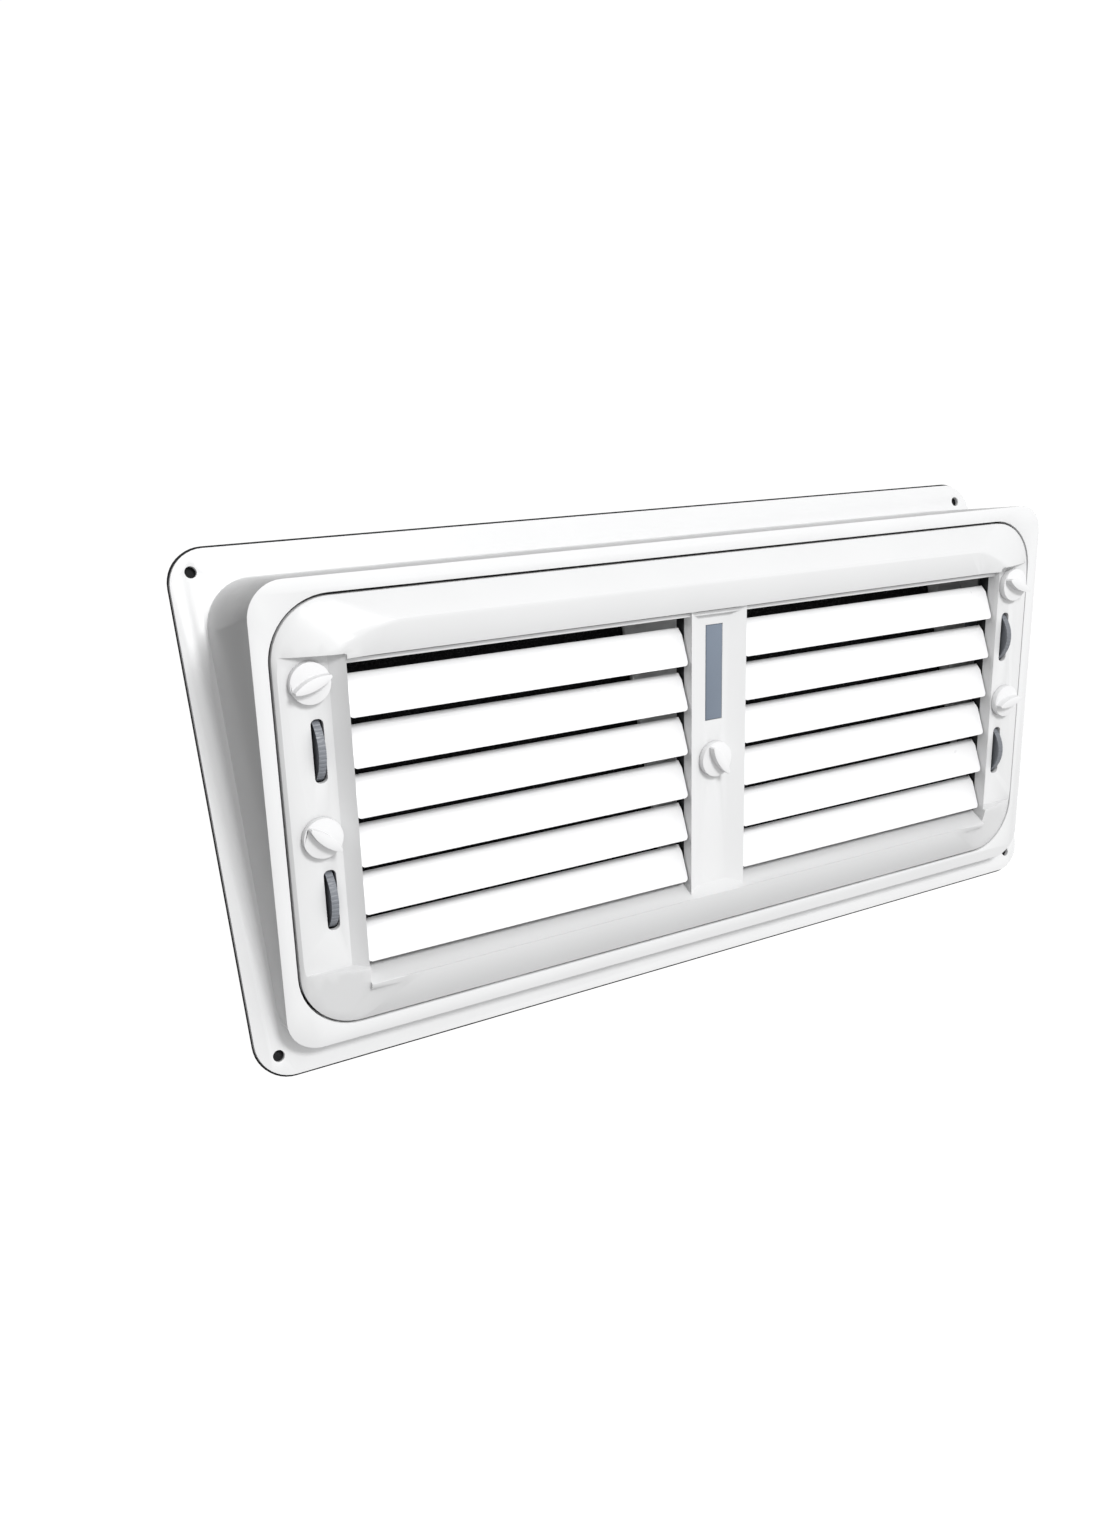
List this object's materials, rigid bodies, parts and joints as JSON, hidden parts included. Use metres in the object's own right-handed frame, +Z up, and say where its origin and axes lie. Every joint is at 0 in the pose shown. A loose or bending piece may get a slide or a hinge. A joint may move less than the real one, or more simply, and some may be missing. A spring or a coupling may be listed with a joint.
{
  "type": "louvred air grille",
  "caption": "Wall-mounted air grille with a leaning housing, a removable latched front panel, two banks of linked tilting blades and thumb wheels",
  "frame": {"origin": "centre of the wall face of the gasket, on the middle of the screw pattern", "axes": "+X right as seen from the room, -Y into the room along the screws, +Z up"},
  "size_m": [0.6, 0.1355, 0.2958],
  "materials": {
    "white_housing": "satin white moulded plastic",
    "white_panel": "satin white moulded plastic",
    "white_blade": "satin white moulded plastic",
    "white_knob": "satin white moulded plastic",
    "grey_wheel": "dark blue-grey ribbed plastic",
    "grey_bearing": "dark acetal",
    "tinted_lens": "tinted clear plastic",
    "black_foam": "black closed-cell foam",
    "filter_foam": "black open-cell filter foam",
    "steel_link": "zinc-plated pressed steel"
  },
  "bodies": {
    "housing": {"wall_gasket": "black_foam", "wall_frame": "white_housing", "louvre_panel": "white_panel", "panel_seal": "black_foam", "filter_pad": "filter_foam", "indicator_lens": "tinted_lens", "outer_cheek_left": "grey_bearing", "inner_cheek_left": "grey_bearing", "wheel_bracket_left_upper": "grey_bearing", "wheel_bracket_left_lower": "grey_bearing", "outer_cheek_right": "grey_bearing", "inner_cheek_right": "grey_bearing", "wheel_bracket_right_upper": "grey_bearing", "wheel_bracket_right_lower": "grey_bearing"},
    "wheel_left_upper": {"wheel_left_upper": "grey_wheel"},
    "coupler_left_upper": {"coupler_left_upper": "steel_link"},
    "blade_left_1": {"blade_left_1": "white_blade"},
    "blade_left_2": {"blade_left_2": "white_blade"},
    "blade_left_3": {"blade_left_3": "white_blade"},
    "wheel_left_lower": {"wheel_left_lower": "grey_wheel"},
    "coupler_left_lower": {"coupler_left_lower": "steel_link"},
    "blade_left_4": {"blade_left_4": "white_blade"},
    "blade_left_5": {"blade_left_5": "white_blade"},
    "blade_left_6": {"blade_left_6": "white_blade"},
    "wheel_right_upper": {"wheel_right_upper": "grey_wheel"},
    "coupler_right_upper": {"coupler_right_upper": "steel_link"},
    "blade_right_1": {"blade_right_1": "white_blade"},
    "blade_right_2": {"blade_right_2": "white_blade"},
    "blade_right_3": {"blade_right_3": "white_blade"},
    "wheel_right_lower": {"wheel_right_lower": "grey_wheel"},
    "coupler_right_lower": {"coupler_right_lower": "steel_link"},
    "blade_right_4": {"blade_right_4": "white_blade"},
    "blade_right_5": {"blade_right_5": "white_blade"},
    "blade_right_6": {"blade_right_6": "white_blade"},
    "latch_left_upper": {"knob_left_upper": "white_knob", "latch_cam_left_upper": "steel_link", "latch_ring_left_upper": "steel_link"},
    "latch_left_lower": {"knob_left_lower": "white_knob", "latch_cam_left_lower": "steel_link", "latch_ring_left_lower": "steel_link"},
    "latch_right_upper": {"knob_right_upper": "white_knob", "latch_cam_right_upper": "steel_link", "latch_ring_right_upper": "steel_link"},
    "latch_right_lower": {"knob_right_lower": "white_knob", "latch_cam_right_lower": "steel_link", "latch_ring_right_lower": "steel_link"},
    "latch_centre": {"knob_centre": "white_knob", "latch_cam_centre": "steel_link", "latch_ring_centre": "steel_link"}
  },
  "joints": [
    {"name": "wheel_left_upper_turn", "type": "hinge", "parent": "housing", "child": "wheel_left_upper", "pos_m": [-0.254, -0.04985, 0.03206], "axis": [-1, 0, 0], "range_deg": [-15, 40]},
    {"name": "coupler_left_upper_swing", "type": "hinge", "parent": "wheel_left_upper", "child": "coupler_left_upper", "pos_m": [-0.245, -0.04279, 0.03582], "axis": [-1, 0, 0], "range_deg": [-40, 15]},
    {"name": "blade_left_1_tilt", "type": "hinge", "parent": "housing", "child": "blade_left_1", "pos_m": [-0.13, -0.06592, 0.05623], "axis": [-1, 0, 0], "range_deg": [-15, 40]},
    {"name": "blade_left_2_tilt", "type": "hinge", "parent": "housing", "child": "blade_left_2", "pos_m": [-0.13, -0.05851, 0.02964], "axis": [-1, 0, 0], "range_deg": [-15, 40]},
    {"name": "blade_left_3_tilt", "type": "hinge", "parent": "housing", "child": "blade_left_3", "pos_m": [-0.13, -0.05111, 0.00305], "axis": [-1, 0, 0], "range_deg": [-15, 40]},
    {"name": "wheel_left_lower_turn", "type": "hinge", "parent": "housing", "child": "wheel_left_lower", "pos_m": [-0.254, -0.02762, -0.0477], "axis": [-1, 0, 0], "range_deg": [-15, 40]},
    {"name": "coupler_left_lower_swing", "type": "hinge", "parent": "wheel_left_lower", "child": "coupler_left_lower", "pos_m": [-0.245, -0.02056, -0.04394], "axis": [-1, 0, 0], "range_deg": [-40, 15]},
    {"name": "blade_left_4_tilt", "type": "hinge", "parent": "housing", "child": "blade_left_4", "pos_m": [-0.13, -0.0437, -0.02353], "axis": [-1, 0, 0], "range_deg": [-15, 40]},
    {"name": "blade_left_5_tilt", "type": "hinge", "parent": "housing", "child": "blade_left_5", "pos_m": [-0.13, -0.03629, -0.05012], "axis": [-1, 0, 0], "range_deg": [-15, 40]},
    {"name": "blade_left_6_tilt", "type": "hinge", "parent": "housing", "child": "blade_left_6", "pos_m": [-0.13, -0.02888, -0.07671], "axis": [-1, 0, 0], "range_deg": [-15, 40]},
    {"name": "wheel_right_upper_turn", "type": "hinge", "parent": "housing", "child": "wheel_right_upper", "pos_m": [0.254, -0.04985, 0.03206], "axis": [-1, 0, 0], "range_deg": [-15, 40]},
    {"name": "coupler_right_upper_swing", "type": "hinge", "parent": "wheel_right_upper", "child": "coupler_right_upper", "pos_m": [0.245, -0.04279, 0.03582], "axis": [-1, 0, 0], "range_deg": [-40, 15]},
    {"name": "blade_right_1_tilt", "type": "hinge", "parent": "housing", "child": "blade_right_1", "pos_m": [0.13, -0.06592, 0.05623], "axis": [-1, 0, 0], "range_deg": [-15, 40]},
    {"name": "blade_right_2_tilt", "type": "hinge", "parent": "housing", "child": "blade_right_2", "pos_m": [0.13, -0.05851, 0.02964], "axis": [-1, 0, 0], "range_deg": [-15, 40]},
    {"name": "blade_right_3_tilt", "type": "hinge", "parent": "housing", "child": "blade_right_3", "pos_m": [0.13, -0.05111, 0.00305], "axis": [-1, 0, 0], "range_deg": [-15, 40]},
    {"name": "wheel_right_lower_turn", "type": "hinge", "parent": "housing", "child": "wheel_right_lower", "pos_m": [0.254, -0.02762, -0.0477], "axis": [-1, 0, 0], "range_deg": [-15, 40]},
    {"name": "coupler_right_lower_swing", "type": "hinge", "parent": "wheel_right_lower", "child": "coupler_right_lower", "pos_m": [0.245, -0.02056, -0.04394], "axis": [-1, 0, 0], "range_deg": [-40, 15]},
    {"name": "blade_right_4_tilt", "type": "hinge", "parent": "housing", "child": "blade_right_4", "pos_m": [0.13, -0.0437, -0.02353], "axis": [-1, 0, 0], "range_deg": [-15, 40]},
    {"name": "blade_right_5_tilt", "type": "hinge", "parent": "housing", "child": "blade_right_5", "pos_m": [0.13, -0.03629, -0.05012], "axis": [-1, 0, 0], "range_deg": [-15, 40]},
    {"name": "blade_right_6_tilt", "type": "hinge", "parent": "housing", "child": "blade_right_6", "pos_m": [0.13, -0.02888, -0.07671], "axis": [-1, 0, 0], "range_deg": [-15, 40]},
    {"name": "latch_left_upper_turn", "type": "hinge", "parent": "housing", "child": "latch_left_upper", "pos_m": [-0.257, -0.0723, 0.06421], "axis": [0, 0.9633, 0.2684], "range_deg": [0, 90]},
    {"name": "latch_left_lower_turn", "type": "hinge", "parent": "housing", "child": "latch_left_lower", "pos_m": [-0.257, -0.05002, -0.01574], "axis": [0, 0.9633, 0.2684], "range_deg": [0, 90]},
    {"name": "latch_right_upper_turn", "type": "hinge", "parent": "housing", "child": "latch_right_upper", "pos_m": [0.257, -0.0723, 0.06421], "axis": [0, -0.9633, -0.2684], "range_deg": [0, 90]},
    {"name": "latch_right_lower_turn", "type": "hinge", "parent": "housing", "child": "latch_right_lower", "pos_m": [0.257, -0.05002, -0.01574], "axis": [0, -0.9633, -0.2684], "range_deg": [0, 90]},
    {"name": "latch_centre_turn", "type": "hinge", "parent": "housing", "child": "latch_centre", "pos_m": [0, -0.05002, -0.01574], "axis": [0, 0.9633, 0.2684], "range_deg": [0, 90]}
  ],
  "couplings": [
    {"joint": "coupler_left_upper_swing", "follows": "wheel_left_upper_turn", "ratio": -1},
    {"joint": "blade_left_1_tilt", "follows": "wheel_left_upper_turn", "ratio": 1},
    {"joint": "blade_left_2_tilt", "follows": "wheel_left_upper_turn", "ratio": 1},
    {"joint": "blade_left_3_tilt", "follows": "wheel_left_upper_turn", "ratio": 1},
    {"joint": "coupler_left_lower_swing", "follows": "wheel_left_lower_turn", "ratio": -1},
    {"joint": "blade_left_4_tilt", "follows": "wheel_left_lower_turn", "ratio": 1},
    {"joint": "blade_left_5_tilt", "follows": "wheel_left_lower_turn", "ratio": 1},
    {"joint": "blade_left_6_tilt", "follows": "wheel_left_lower_turn", "ratio": 1},
    {"joint": "coupler_right_upper_swing", "follows": "wheel_right_upper_turn", "ratio": -1},
    {"joint": "blade_right_1_tilt", "follows": "wheel_right_upper_turn", "ratio": 1},
    {"joint": "blade_right_2_tilt", "follows": "wheel_right_upper_turn", "ratio": 1},
    {"joint": "blade_right_3_tilt", "follows": "wheel_right_upper_turn", "ratio": 1},
    {"joint": "coupler_right_lower_swing", "follows": "wheel_right_lower_turn", "ratio": -1},
    {"joint": "blade_right_4_tilt", "follows": "wheel_right_lower_turn", "ratio": 1},
    {"joint": "blade_right_5_tilt", "follows": "wheel_right_lower_turn", "ratio": 1},
    {"joint": "blade_right_6_tilt", "follows": "wheel_right_lower_turn", "ratio": 1}
  ]
}
